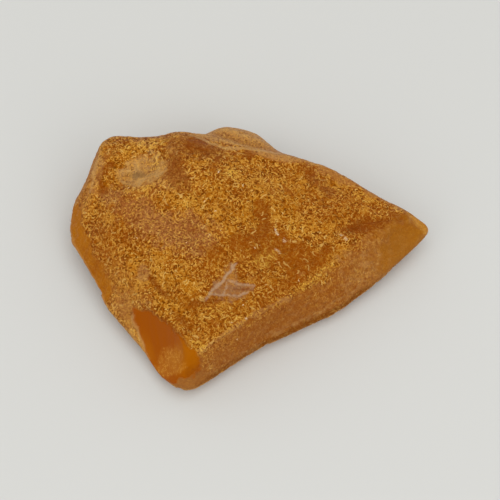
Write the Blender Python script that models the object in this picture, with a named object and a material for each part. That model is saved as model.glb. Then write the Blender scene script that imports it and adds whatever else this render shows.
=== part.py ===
"""Raw copal: one natural lump of hardened resin, about 83 mm long, as a single closed solid.

The lump lies on its flat underside. Seen from above it is a blunt kite: a high square shoulder at
the back left, a low rounded hump behind it, a foot that reaches forward and a thin tip at the right.
Its outline is a closed curve. From that curve the flanks rise and tuck under at their own slopes, and
gently dipping faces cap them. Swells and hollows then bend the skin, and shell-shaped breaks bite
into it. X runs along the lump towards its tip, Y towards its back, Z up from where it lies.
"""

import math

import bmesh
import bpy
import numpy as np

MM = 0.001

# How finely the lump is meshed: cells along each side of the square that folds into one half
GRID_CELLS = 50
RIM_CROWDING = 1.35
CURVE_STEPS = 4096
MERGE_WITHIN = 0.001

# The point that the outline is drawn around, in mm
HEART = (-3.0, -1.0)

# The widest line of the lump, anticlockwise from the tip, in mm and degrees:
# x, y, height above the table, slope of the flank above the line, slope of the flank below it
OUTLINE = (
    (41.3, 7.9, 5.5, 52, 42),
    (38.6, 10.8, 6.5, 58, 42),
    (31.0, 15.5, 7.0, 65, 46),
    (22.0, 20.9, 7.5, 68, 50),
    (14.0, 24.9, 7.5, 64, 52),
    (6.6, 29.4, 6.5, 56, 50),
    (1.3, 34.9, 6.0, 54, 48),
    (-4.8, 36.3, 6.0, 54, 48),
    (-10.0, 33.7, 6.5, 60, 50),
    (-14.5, 31.0, 7.5, 72, 55),
    (-20.7, 30.6, 8.5, 76, 60),
    (-28.4, 31.6, 8.5, 76, 58),
    (-34.9, 28.8, 8.5, 74, 55),
    (-38.3, 21.3, 8.0, 68, 50),
    (-41.0, 13.8, 7.0, 60, 46),
    (-41.5, 7.0, 5.5, 56, 42),
    (-40.0, 2.1, 4.6, 52, 40),
    (-36.3, -4.4, 4.0, 48, 38),
    (-31.9, -11.8, 4.0, 48, 38),
    (-27.6, -16.8, 4.0, 56, 38),
    (-24.6, -20.6, 4.0, 60, 38),
    (-21.8, -25.2, 3.8, 58, 38),
    (-18.4, -28.9, 3.5, 58, 38),
    (-13.8, -31.0, 3.2, 64, 40),
    (-8.6, -28.5, 3.0, 70, 42),
    (0.8, -21.8, 3.0, 71, 46),
    (9.8, -16.9, 3.0, 68, 46),
    (18.8, -12.3, 3.0, 60, 44),
    (27.5, -5.6, 3.2, 52, 42),
    (37.2, 3.4, 4.2, 48, 40),
)
EDGE_RADIUS = 1.6
FLANK_EVENING = 0.02

# The faces that cap the lump: x, y, height there, downhill direction from +X, dip, rounding of its edge.
# All of them lie below the sky height.
SKY = 60.0
TOP_FACES = {
    "main": (-5.0, 4.0, 18.5, -4, 8, 2.0),
    "tip": (25.0, 6.0, 13.5, 5, 17, 3.5),
    "back": (0.0, 24.2, 16.0, 72, 34, 1.0),
    "shoulder_back": (-20.0, 27.4, 16.6, 95, 42, 1.0),
    "left": (-30.0, 10.0, 15.6, 188, 17, 2.5),
    "left_front": (-24.0, -3.5, 14.9, -148, 34, 2.2),
    "foot": (-8.0, -14.0, 15.5, -108, 14, 3.0),
    "front": (4.0, -5.0, 15.2, -53, 17, 2.5),
}
FLANK_BLEND = 1.8
BASE_BLEND = 1.2

# Oval patches where the skin swells, or sinks where the height is negative:
# x, y, direction of the long axis, length, breadth, height.
# Each acts in full where the skin looks up at least this much, and not at all on upright skin.
SWELL_FULL = 0.5
SWELLS = {
    "shoulder_dish": (-25.0, 17.8, 12, 18, 13, -1.9),
    "dish_rim": (-35.0, 17.0, 74, 18, 6.5, 1.1),
    "shoulder_crest": (-22.0, 26.0, 0, 26, 7, 0.5),
    "long_valley": (-17.0, 4.0, -34, 32, 12, -1.3),
    "left_boss": (-32.0, 5.0, 62, 18, 11, 0.7),
    "left_crease": (-22.5, -6.0, -56, 24, 7, -0.8),
    "centre_rise": (-4.0, 13.0, -20, 30, 16, 0.7),
    "centre_crease": (3.0, 5.0, -80, 17, 7, -0.6),
    "clear_hollow": (9.0, -2.6, 34, 27, 12, -1.2),
    "tip_hollow": (24.0, 6.2, 12, 18, 7, -0.6),
    "crest_hollow": (5.0, 18.6, -14, 16, 6, -0.6),
    "crest_line": (-1.0, 24.0, -17, 32, 5.5, 0.7),
    "behind_crest": (-1.5, 27.4, -17, 26, 5.5, -0.9),
    "hump": (-4.0, 31.4, -22, 20, 8, 1.1),
    "front_ridge": (11.0, -9.6, 32, 34, 6.5, 0.6),
    "foot_rise": (-9.0, -21.0, 70, 17, 10, 0.7),
}

# Shell-shaped breaks: x, y, z of the middle, direction it faces, its lift, radius, depth.
# The rounding is of the bowl's edge. Outside the radius it goes on for a share, and then fades out.
BREAK_BLEND = 0.5
BREAK_SPREAD = 1.35
BREAK_FADE = 0.3
BREAKS = {
    "foot_scoop": (-16.7, -24.2, 13.0, -149, 25, 11.4, 2.1),
    "scar": (-4.6, -10.6, 15.2, -70, 76, 4.6, 0.9),
    "left_chip": (-24.2, -4.6, 14.4, -140, 62, 3.6, 0.6),
    "tip_face": (35.0, 3.6, 8.4, -50, 40, 7.0, 1.0),
    "tip_end": (39.0, 7.4, 8.4, 0, 50, 4.2, 0.7),
    "front_lip": (12.0, -15.0, 6.0, -62, 20, 8.0, 0.5),
    "front_low": (-3.0, -24.0, 7.0, -55, 22, 7.0, 0.5),
    "back_wall": (-23.0, 30.2, 11.0, 92, 12, 9.0, 1.2),
    "hump_wall": (6.0, 31.2, 8.0, 50, 15, 6.0, 0.8),
    "left_wall": (-38.8, 19.0, 10.0, 160, 25, 6.5, 0.7),
    "under_tip": (24.0, 4.0, 0.5, 0, -90, 11.0, 1.2),
    "under_shoulder": (-21.0, 13.0, 0.4, 0, -90, 10.0, 1.0),
    "under_back": (4.0, 26.0, 0.9, 95, -62, 8.0, 0.8),
    "under_left": (-33.6, -1.6, 2.2, -160, -48, 8.0, 0.7),
}

# Slow waves in the skin: wavelength in mm, direction, height in mm and phase in radians.
# Each is bent by the next. They climb the flanks, where they are lower, and fade out at the table.
WAVES = (
    (23.0, 15, 0.26, 0.4),
    (18.0, 152, 0.22, 2.1),
    (14.0, 75, 0.17, 4.4),
    (11.5, 205, 0.10, 1.2),
    (9.5, 100, 0.08, 3.3),
)
WAVE_BEND = 0.9
WAVE_CLIMB = 0.6
WAVE_FADE = 2.5
WAVE_ON_FLANKS = 0.2


def closed_curve(table, place):
    """Each column of the table at a share of the way round, and its rate, by a closed cubic curve."""
    rows = len(table)
    step = np.floor(place * rows).astype(int)
    f = (place * rows - step)[..., None]
    before, start, end, after = (table[(step + k) % rows] for k in (-1, 0, 1, 2))
    square = 2 * before - 5 * start + 4 * end - after
    cube = 3 * (start - end) + after - before
    value = start + 0.5 * f * ((end - before) + f * (square + f * cube))
    rate = 0.5 * ((end - before) + f * (2 * square + 3 * f * cube))
    return value, rate


def evened(values, spread):
    """A closed run of values, each averaged with its neighbours to about that share of the run."""
    count = len(values)
    turns = np.fft.rfftfreq(count, 1 / count)
    return np.fft.irfft(np.fft.rfft(values) * np.exp(-2 * (math.pi * spread * turns) ** 2), count)


def walk_outline(turn):
    """The outline's columns, and how far it lies from the heart square to itself, at a share of its length."""
    table = np.array(OUTLINE, float)
    fine = np.linspace(0, 1, CURVE_STEPS, endpoint=False)
    value, rate = closed_curve(table, fine)
    outward = np.stack([rate[:, 1], -rate[:, 0]], axis=1)
    outward /= np.linalg.norm(outward, axis=1, keepdims=True)
    breadth = evened(np.sum((value[:, :2] - HEART) * outward, axis=1), FLANK_EVENING)
    loop = np.append(fine, 1.0)
    points = closed_curve(table, loop)[0][:, :2]
    run = np.append(0, np.cumsum(np.linalg.norm(np.diff(points, axis=0), axis=1)))
    place = np.interp(turn, run / run[-1], loop)
    return closed_curve(table, place)[0], np.interp(place, fine, breadth, period=1)


def lower_of(a, b, blend):
    """The lower of two heights, with the crease between them rounded."""
    near = np.clip(1 - np.abs(a - b) / blend, 0, 1)
    return np.minimum(a, b) - blend / 4 * near**2


def upper_of(a, b, blend):
    """The higher of two heights, with the crease between them rounded."""
    return -lower_of(-a, -b, blend)


def flank_rise(inward, slope):
    """Height gained inward of the edge: upright at the edge, then a straight slope."""
    return np.sqrt((inward * np.tan(np.radians(slope))) ** 2 + 2 * EDGE_RADIUS * inward)


def cap_height(x, y):
    """Height of the faces that cap the lump."""
    height = np.full_like(x, SKY)
    for at_x, at_y, at_z, downhill, dip, rounding in TOP_FACES.values():
        way = math.radians(downhill)
        run = (x - at_x) * math.cos(way) + (y - at_y) * math.sin(way)
        height = lower_of(height, at_z - run * math.tan(math.radians(dip)), rounding)
    return height


def disc_from_square(a, b):
    """Share of the way out and share of the way round for a point of a square."""
    out = np.maximum(np.abs(a), np.abs(b))
    whole = np.where(out == 0, 1, out)
    sideways = np.abs(a) >= np.abs(b)
    eighths = np.where(
        sideways,
        np.where(a >= 0, b / whole, 4 - b / whole),
        np.where(b >= 0, 2 - a / whole, 6 + a / whole),
    )
    return out, (eighths / 8) % 1


def lump_half(a, b, upper):
    """Points of the upper or the lower half for points of a square, in mm."""
    out, turn = disc_from_square(a, b)
    share = 1 - (1 - out) ** RIM_CROWDING
    line, breadth = walk_outline(turn)
    place = np.array(HEART) + share[:, None] * (line[:, :2] - HEART)
    inward = (1 - share) * breadth
    level = line[:, 2]
    if upper:
        flank = level + flank_rise(inward, line[:, 3])
        height = lower_of(cap_height(place[:, 0], place[:, 1]), flank, FLANK_BLEND)
    else:
        flank = level - flank_rise(inward, line[:, 4])
        height = upper_of(flank, np.zeros_like(flank), BASE_BLEND)
    height = np.where(out >= 1, level, height)
    return np.column_stack([place, height])


def swell(points, rising):
    """Raises or sinks the upper skin over oval patches that fade out at their edges."""
    lift = np.zeros(len(points))
    for x, y, turn, length, breadth, height in SWELLS.values():
        way = math.radians(turn)
        dx = points[:, 0] - x
        dy = points[:, 1] - y
        along = (dx * math.cos(way) + dy * math.sin(way)) * 2 / length
        across = (dy * math.cos(way) - dx * math.sin(way)) * 2 / breadth
        lift += height * np.clip(1 - along**2 - across**2, 0, 1) ** 2
    return points + np.outer(lift * rising, (0, 0, 1))


def break_away(points):
    """Cuts the skin back to the inside of a shallow ball wherever a shell-shaped break bites it."""
    for x, y, z, facing, lift, radius, depth in BREAKS.values():
        turn = math.radians(facing)
        rise = math.radians(lift)
        level = math.cos(rise)
        out = np.array([level * math.cos(turn), level * math.sin(turn), math.sin(rise)])
        ball = (radius**2 + depth**2) / (2 * depth)
        from_middle = points - (x, y, z)
        height = from_middle @ out
        aside = np.linalg.norm(from_middle - np.outer(height, out), axis=1)
        bowl = ball - depth - np.sqrt(np.clip(ball**2 - aside**2, 0, None))
        excess = upper_of(height - bowl, np.zeros(len(points)), BREAK_BLEND)
        reach = np.clip((BREAK_SPREAD * radius - aside) / (BREAK_FADE * radius), 0, 1)
        points = points - np.outer(excess * reach, out)
    return points


def wave(points, outward):
    """Slow natural waves along the skin's own outward directions, none where the lump rests."""
    x, y, z = points.T
    phases = []
    for length, direction, _, phase in WAVES:
        way = math.radians(direction)
        run = x * math.cos(way) + y * math.sin(way) + WAVE_CLIMB * z
        phases.append(2 * math.pi * run / length + phase)
    height = np.zeros(len(points))
    for (_, _, size, _), own, other in zip(WAVES, phases, phases[1:] + phases[:1]):
        height += size * np.sin(own + WAVE_BEND * np.sin(other))
    height *= np.clip(z / WAVE_FADE, 0, 1)
    height *= WAVE_ON_FLANKS + (1 - WAVE_ON_FLANKS) * np.clip(outward[:, 2], 0, 1)
    return points + outward * height[:, None]


def add_half(solid, upper):
    """One half of the lump as a square grid folded into a disc."""
    made = bmesh.ops.create_grid(solid, x_segments=GRID_CELLS, y_segments=GRID_CELLS, size=1.0)
    square = np.array([v.co[:2] for v in made["verts"]])
    for vertex, place in zip(made["verts"], lump_half(square[:, 0], square[:, 1], upper)):
        vertex.co = place
    if not upper:
        faces = {f for v in made["verts"] for f in v.link_faces}
        bmesh.ops.reverse_faces(solid, faces=list(faces))


def resin_material():
    """Amber brown resin with a dull crackled rind."""
    material = bpy.data.materials.new("copal_rind")
    material.use_nodes = True
    shader = material.node_tree.nodes["Principled BSDF"]
    shader.inputs["Base Color"].default_value = (0.38, 0.14, 0.02, 1)
    shader.inputs["Roughness"].default_value = 0.45
    shader.inputs["Metallic"].default_value = 0.0
    return material


def shape_skin(solid):
    """Moves the plain lump's points to the finished skin, centred over the origin, in metres."""
    solid.normal_update()
    points = np.array([v.co for v in solid.verts])
    outward = np.array([v.normal for v in solid.verts])
    points = swell(points, np.clip(outward[:, 2] / SWELL_FULL, 0, 1))
    points = wave(points, outward)
    points = break_away(points)
    points[:, 2] = np.maximum(points[:, 2], 0)
    middle = (points.min(axis=0) + points.max(axis=0)) / 2
    points = (points - (middle[0], middle[1], 0)) * MM
    for vertex, place in zip(solid.verts, points):
        vertex.co = place


def build_copal():
    """The lump as one closed mesh, lying on z = 0."""
    solid = bmesh.new()
    add_half(solid, upper=True)
    add_half(solid, upper=False)
    bmesh.ops.remove_doubles(solid, verts=solid.verts, dist=MERGE_WITHIN)
    shape_skin(solid)
    mesh = bpy.data.meshes.new("raw_copal")
    solid.to_mesh(mesh)
    solid.free()
    mesh.shade_smooth()
    mesh.materials.append(resin_material())
    lump = bpy.data.objects.new("raw_copal", mesh)
    bpy.context.scene.collection.objects.link(lump)


def main():
    for leftover in list(bpy.data.objects):
        bpy.data.objects.remove(leftover)
    build_copal()


main()
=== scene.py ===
"""Raw copal: the finished skin and resin of the lump, on a pale floor in soft light.

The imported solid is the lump's form. Here the same outline, faces, swells and shell-shaped breaks are
worked out again on a finer grid, and the fine relief of the rind is cut into them: pits, creases,
a scar like an A and the ripples of the breaks. Every place below is in millimetres, in the plan that
the lump was laid out in, and the finished skin is centred over the origin as the solid is.
"""

import math

import bpy
import numpy as np
from bpy.props import FloatProperty, FloatVectorProperty, IntProperty, PointerProperty
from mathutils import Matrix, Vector


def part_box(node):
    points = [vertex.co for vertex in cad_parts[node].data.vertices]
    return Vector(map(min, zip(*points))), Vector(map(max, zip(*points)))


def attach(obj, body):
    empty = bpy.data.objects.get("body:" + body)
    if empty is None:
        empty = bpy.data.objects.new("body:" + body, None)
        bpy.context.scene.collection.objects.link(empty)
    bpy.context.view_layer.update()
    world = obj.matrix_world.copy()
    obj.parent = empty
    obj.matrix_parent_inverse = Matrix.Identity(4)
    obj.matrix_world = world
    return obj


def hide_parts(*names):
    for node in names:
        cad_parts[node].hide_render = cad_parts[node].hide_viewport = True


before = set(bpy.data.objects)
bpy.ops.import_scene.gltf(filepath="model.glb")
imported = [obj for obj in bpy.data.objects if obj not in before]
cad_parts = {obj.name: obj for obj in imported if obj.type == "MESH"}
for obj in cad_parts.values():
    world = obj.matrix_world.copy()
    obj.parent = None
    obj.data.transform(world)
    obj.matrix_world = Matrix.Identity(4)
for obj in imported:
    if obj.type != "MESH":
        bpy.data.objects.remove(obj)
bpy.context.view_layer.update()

bl_info = {
    "name": "Raw copal",
    "version": (1, 0, 0),
    "blender": (4, 5, 0),
    "location": "View3D > Sidebar > Copal",
    "description": "Builds a raw lump of copal with its crackled rind, and a stage to see it on",
    "category": "Object",
}

MM = 0.001
LUMP_BOX = np.array(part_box("raw_copal")) / MM

# How the square grid folds into a disc, and how finely the outline is walked
RIM_CROWDING = 1.35
CURVE_STEPS = 4096
HEART = (-3.0, -1.0)

# The widest line of the lump, anticlockwise from the tip, in mm and degrees:
# x, y, height above the table, slope of the flank above the line, slope of the flank below it
OUTLINE = (
    (41.3, 7.9, 5.5, 52, 42),
    (38.6, 10.8, 6.5, 58, 42),
    (31.0, 15.5, 7.0, 65, 46),
    (22.0, 20.9, 7.5, 68, 50),
    (14.0, 24.9, 7.5, 64, 52),
    (6.6, 29.4, 6.5, 56, 50),
    (1.3, 34.9, 6.0, 54, 48),
    (-4.8, 36.3, 6.0, 54, 48),
    (-10.0, 33.7, 6.5, 60, 50),
    (-14.5, 31.0, 7.5, 72, 55),
    (-20.7, 30.6, 8.5, 76, 60),
    (-28.4, 31.6, 8.5, 76, 58),
    (-34.9, 28.8, 8.5, 74, 55),
    (-38.3, 21.3, 8.0, 68, 50),
    (-41.0, 13.8, 7.0, 60, 46),
    (-41.5, 7.0, 5.5, 56, 42),
    (-40.0, 2.1, 4.6, 52, 40),
    (-36.3, -4.4, 4.0, 48, 38),
    (-31.9, -11.8, 4.0, 48, 38),
    (-27.6, -16.8, 4.0, 56, 38),
    (-24.6, -20.6, 4.0, 60, 38),
    (-21.8, -25.2, 3.8, 58, 38),
    (-18.4, -28.9, 3.5, 58, 38),
    (-13.8, -31.0, 3.2, 64, 40),
    (-8.6, -28.5, 3.0, 70, 42),
    (0.8, -21.8, 3.0, 71, 46),
    (9.8, -16.9, 3.0, 68, 46),
    (18.8, -12.3, 3.0, 60, 44),
    (27.5, -5.6, 3.2, 52, 42),
    (37.2, 3.4, 4.2, 48, 40),
)
EDGE_RADIUS = 1.6
FLANK_EVENING = 0.02

# The faces that cap the lump: x, y, height there, downhill direction from +X, dip, rounding of its edge
SKY = 60.0
TOP_FACES = {
    "main": (-5.0, 4.0, 18.5, -4, 8, 2.0),
    "tip": (25.0, 6.0, 13.5, 5, 17, 3.5),
    "back": (0.0, 24.2, 16.0, 72, 34, 1.0),
    "shoulder_back": (-20.0, 27.4, 16.6, 95, 42, 1.0),
    "left": (-30.0, 10.0, 15.6, 188, 17, 2.5),
    "left_front": (-24.0, -3.5, 14.9, -148, 34, 2.2),
    "foot": (-8.0, -14.0, 15.5, -108, 14, 3.0),
    "front": (4.0, -5.0, 15.2, -53, 17, 2.5),
}
FLANK_BLEND = 1.8
BASE_BLEND = 1.2

# Oval patches where the skin swells or sinks: x, y, direction of the long axis, length, breadth, height
SWELL_FULL = 0.5
SWELLS = {
    "shoulder_dish": (-25.0, 17.8, 12, 18, 13, -1.9),
    "dish_rim": (-35.0, 17.0, 74, 18, 6.5, 1.1),
    "shoulder_crest": (-22.0, 26.0, 0, 26, 7, 0.5),
    "long_valley": (-17.0, 4.0, -34, 32, 12, -1.3),
    "left_boss": (-32.0, 5.0, 62, 18, 11, 0.7),
    "left_crease": (-22.5, -6.0, -56, 24, 7, -0.8),
    "centre_rise": (-4.0, 13.0, -20, 30, 16, 0.7),
    "centre_crease": (3.0, 5.0, -80, 17, 7, -0.6),
    "clear_hollow": (9.0, -2.6, 34, 27, 12, -1.2),
    "tip_hollow": (24.0, 6.2, 12, 18, 7, -0.6),
    "crest_hollow": (5.0, 18.6, -14, 16, 6, -0.6),
    "crest_line": (-1.0, 24.0, -17, 32, 5.5, 0.7),
    "behind_crest": (-1.5, 27.4, -17, 26, 5.5, -0.9),
    "hump": (-4.0, 31.4, -22, 20, 8, 1.1),
    "front_ridge": (11.0, -9.6, 32, 34, 6.5, 0.6),
    "foot_rise": (-9.0, -21.0, 70, 17, 10, 0.7),
}

# Shell-shaped breaks: x, y, z of the middle, direction it faces, its lift, radius, depth
BREAK_BLEND = 0.5
BREAK_SPREAD = 1.35
BREAK_FADE = 0.3
BREAKS = {
    "foot_scoop": (-16.7, -24.2, 13.0, -149, 25, 11.4, 2.1),
    "scar": (-4.6, -10.6, 15.2, -70, 76, 4.6, 0.9),
    "left_chip": (-24.2, -4.6, 14.4, -140, 62, 3.6, 0.6),
    "tip_face": (35.0, 3.6, 8.4, -50, 40, 7.0, 1.0),
    "tip_end": (39.0, 7.4, 8.4, 0, 50, 4.2, 0.7),
    "front_lip": (12.0, -15.0, 6.0, -62, 20, 8.0, 0.5),
    "front_low": (-3.0, -24.0, 7.0, -55, 22, 7.0, 0.5),
    "back_wall": (-23.0, 30.2, 11.0, 92, 12, 9.0, 1.2),
    "hump_wall": (6.0, 31.2, 8.0, 50, 15, 6.0, 0.8),
    "left_wall": (-38.8, 19.0, 10.0, 160, 25, 6.5, 0.7),
    "under_tip": (24.0, 4.0, 0.5, 0, -90, 11.0, 1.2),
    "under_shoulder": (-21.0, 13.0, 0.4, 0, -90, 10.0, 1.0),
    "under_back": (4.0, 26.0, 0.9, 95, -62, 8.0, 0.8),
    "under_left": (-33.6, -1.6, 2.2, -160, -48, 8.0, 0.7),
}
RIPPLED_BREAK = "foot_scoop"

# Slow waves in the skin: wavelength in mm, direction, height in mm and phase in radians
WAVES = (
    (23.0, 15, 0.26, 0.4),
    (18.0, 152, 0.22, 2.1),
    (14.0, 75, 0.17, 4.4),
    (11.5, 205, 0.10, 1.2),
    (9.5, 100, 0.08, 3.3),
)
WAVE_BEND = 0.9
WAVE_CLIMB = 0.6
WAVE_FADE = 2.5
WAVE_ON_FLANKS = 0.2

# Short creases cut into the rind: x and y of one end, x and y of the other, width, depth
CREASES = (
    (-28.0, 1.8, -22.2, -6.6, 1.6, 0.45),
    (-22.2, -6.6, -16.4, -14.2, 1.4, 0.40),
    (-16.4, -14.2, -8.6, -15.2, 1.2, 0.35),
    (-1.2, 18.0, 4.4, 16.6, 1.1, 0.25),
    (1.6, 3.4, 2.8, -4.6, 1.2, 0.30),
    (16.5, -1.4, 25.4, 6.4, 1.2, 0.30),
    (25.4, 6.4, 35.6, 8.0, 1.3, 0.30),
    (-13.0, 10.4, -3.6, 6.4, 1.0, 0.20),
    (-14.0, 21.0, -4.0, 20.4, 1.1, 0.22),
    (8.6, 10.8, 16.0, 16.6, 1.0, 0.20),
    (-31.8, -8.8, -26.2, -12.6, 1.2, 0.30),
)

# Places with a drawn edge: each shape's softness and raggedness of the edge in mm, and its corners
DRAWN = {
    "fresh": ((
        0.5, 0.5,
        (-25.8, -14.2), (-23.3, -15.0), (-21.0, -16.5), (-18.8, -18.3), (-16.7, -20.4), (-15.1, -22.6),
        (-13.4, -24.6), (-11.6, -26.1), (-10.4, -27.4), (-11.8, -29.1), (-14.4, -30.1), (-17.5, -29.7),
        (-20.5, -27.9), (-22.6, -24.4), (-23.8, -20.4), (-24.9, -17.6), (-26.2, -15.6),
    ),),
    "scar": ((
        0.55, 0.6,
        (-3.2, -6.2), (-5.1, -7.5), (-5.7, -9.0), (-7.2, -10.4), (-8.4, -12.9), (-10.0, -14.9), (-8.4, -14.2),
        (-7.1, -14.0), (-6.0, -14.8), (-4.9, -14.0), (-3.7, -15.2), (-2.6, -13.8), (-1.4, -14.0), (-0.6, -12.9),
        (1.1, -11.9), (0.6, -11.0), (-1.6, -10.7), (-3.1, -9.9), (-3.5, -8.4),
    ),),
    "amber_tip": ((
        4.5, 2.0,
        (50.0, 8.0), (44.0, 14.0), (36.6, 10.6), (33.0, 7.4), (29.8, 4.0), (29.0, -1.0), (34.0, -5.0), (46.0, -2.0),
    ),),
    "tip_haze": ((1.0, 0.8, (35.6, 9.8), (39.0, 10.8), (42.4, 9.0), (40.6, 7.2), (37.2, 7.8)),),
    "film": ((
        1.2, 1.2,
        (-30.0, 18.6), (-29.3, 19.9), (-27.3, 20.8), (-24.5, 21.1), (-22.7, 21.9), (-20.8, 21.1), (-19.3, 18.6),
        (-19.4, 15.8), (-21.0, 13.7), (-23.3, 13.5), (-25.6, 13.3), (-28.5, 14.7), (-29.7, 16.7),
    ),),
    "facet": ((
        0.5, 0.4,
        (-25.4, -7.9), (-24.4, -5.3), (-23.5, -4.8), (-21.9, -6.9), (-22.3, -9.3), (-23.8, -9.5),
    ),),
    "edge_band": ((
        0.9, 0.9,
        (2.0, 22.8), (2.9, 20.6), (6.1, 20.0), (9.3, 19.6), (12.3, 20.6), (14.9, 19.0), (18.5, 17.0), (22.0, 16.1),
        (25.4, 14.9), (28.8, 13.4), (31.8, 12.2), (34.1, 11.2), (36.5, 12.5), (30.0, 18.0), (20.0, 24.0),
        (10.0, 29.0), (4.0, 25.5),
    ),),
    # The thin left edge: clear resin, made brighter with a painted glow of the light that comes through it
    "clear_edge_glow": ((
        0.6, 0.5,
        (-42.6, 13.0), (-39.8, 12.6), (-38.7, 10.0), (-38.6, 7.9), (-37.1, 4.7), (-35.5, 1.2), (-34.3, -2.0),
        (-32.1, -5.5), (-30.7, -8.5), (-33.5, -12.0), (-38.0, -7.0), (-43.0, 0.0), (-45.0, 8.0),
    ),),
    "corner": ((
        1.0, 0.8,
        (-18.9, -28.2), (-17.3, -28.6), (-14.5, -29.2), (-12.1, -28.6), (-10.4, -27.4), (-8.6, -29.2),
        (-11.8, -33.0), (-16.0, -33.0), (-20.0, -30.5),
    ),),
    "stain": (
        (
            0.7, 0.5,
            (-1.9, 21.6), (-0.9, 22.6), (0.7, 22.3), (2.0, 21.5), (1.3, 20.4), (-0.3, 20.0), (-1.6, 20.4),
        ),
        (
            1.0, 0.9,
            (11.2, 19.3), (12.1, 20.4), (13.6, 19.6), (14.9, 17.9), (14.4, 15.9), (12.7, 16.2), (11.3, 17.8),
        ),
        (
            1.1, 1.2,
            (22.8, 6.4), (24.7, 7.8), (27.9, 7.8), (31.2, 9.0), (34.3, 10.5), (36.3, 9.4), (37.3, 8.2),
            (34.3, 7.4), (31.5, 6.3), (29.2, 4.6), (26.8, 3.3), (24.5, 3.8), (23.0, 4.9),
        ),
        (
            0.9, 0.9,
            (-14.4, 24.9), (-11.3, 25.2), (-8.2, 22.8), (-8.6, 20.6), (-11.6, 20.9), (-14.2, 22.4),
        ),
        (
            0.7, 0.6,
            (-34.9, 14.6), (-34.9, 16.8), (-34.3, 18.8), (-33.0, 20.4), (-31.4, 20.8), (-30.7, 19.5),
            (-32.3, 18.6), (-33.1, 16.9), (-33.5, 15.0), (-31.8, 12.6), (-33.4, 12.6),
        ),
    ),
    "dulled": (
        (
            1.4, 1.4,
            (-34.6, 14.4), (-32.1, 13.4), (-29.2, 12.1), (-26.4, 10.3), (-23.1, 8.0), (-22.1, 5.6), (-24.9, 6.2),
            (-28.1, 7.4), (-30.9, 8.9), (-33.4, 11.3),
        ),
        (
            1.4, 1.4,
            (-22.1, 3.8), (-17.6, 4.3), (-13.1, 2.5), (-9.5, 0.7), (-9.9, -1.6), (-13.5, -0.9), (-17.5, 0.1),
            (-21.1, 1.3),
        ),
    ),
    "specked": ((
        1.4, 1.4,
        (-29.8, 5.7), (-26.6, 4.8), (-22.0, 1.3), (-17.5, -0.9), (-13.0, -2.1), (-9.7, -2.7), (-11.6, -4.9),
        (-16.1, -3.9), (-20.6, -2.9), (-24.7, -1.0), (-27.9, 1.4),
    ),),
    "side": ((
        1.8, 1.6,
        (-10.8, -29.2), (-7.6, -26.0), (-4.9, -23.0), (-0.8, -19.7), (2.8, -17.2), (4.6, -15.9), (7.4, -14.4),
        (12.3, -11.2), (16.6, -7.8), (20.3, -3.1), (23.0, 0.2), (27.1, 3.4), (31.0, 5.4), (34.2, 5.6),
        (37.0, 3.6), (45.0, 6.0), (42.0, -4.0), (28.0, -14.0), (16.0, -20.0), (4.0, -28.0), (-8.0, -36.0),
        (-13.0, -33.0),
    ),),
    "trough": ((
        2.0, 1.6,
        (-34.4, 13.2), (-30.1, 12.6), (-25.7, 10.2), (-20.6, 7.4), (-16.5, 6.3), (-13.1, 5.0), (-7.8, 1.6),
        (-6.4, -1.3), (-9.0, -3.8), (-11.6, -5.1), (-14.7, -4.3), (-17.4, -3.3), (-22.2, -0.8), (-26.4, 3.2),
        (-30.4, 6.9), (-34.4, 11.0),
    ),),
    "hump": ((
        0.8, 0.7,
        (-13.6, 27.2), (-9.0, 25.6), (-5.5, 24.4), (-0.9, 23.8), (3.0, 23.8), (8.0, 23.6), (13.0, 21.4),
        (19.0, 24.0), (12.0, 35.0), (0.0, 41.0), (-12.0, 39.0), (-17.0, 33.0),
    ),),
    "brown": (
        (
            1.6, 1.6,
            (-19.0, 25.6), (-14.0, 26.4), (-10.1, 25.3), (-6.2, 23.0), (-3.2, 21.0), (-5.8, 19.6), (-8.0, 18.8),
            (-12.0, 19.0), (-15.7, 20.5), (-19.4, 23.0),
        ),
        (
            1.2, 1.4,
            (-20.1, 21.8), (-16.8, 20.3), (-14.2, 18.0), (-14.6, 13.8), (-13.7, 10.2), (-16.3, 10.2),
            (-18.2, 13.0), (-19.3, 17.5),
        ),
        (
            1.2, 1.4,
            (14.3, 16.7), (16.6, 16.0), (18.9, 14.3), (19.7, 11.7), (17.4, 11.7), (15.2, 13.6), (13.4, 15.3),
        ),
    ),
    "clear": ((
        1.0, 1.5,
        (2.9, 9.2), (4.4, 6.1), (5.3, 1.8), (8.0, 2.4), (11.3, 0.9), (13.6, -1.4), (16.9, -0.9), (19.6, 1.2),
        (20.0, -0.6), (16.8, -3.8), (13.6, -7.0), (9.0, -7.6), (6.0, -5.6), (3.2, -5.8), (0.2, -4.4),
        (-3.8, -4.2), (-4.8, -1.0), (0.0, 1.4), (1.6, 4.0), (1.4, 8.6),
    ),),
}

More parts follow.
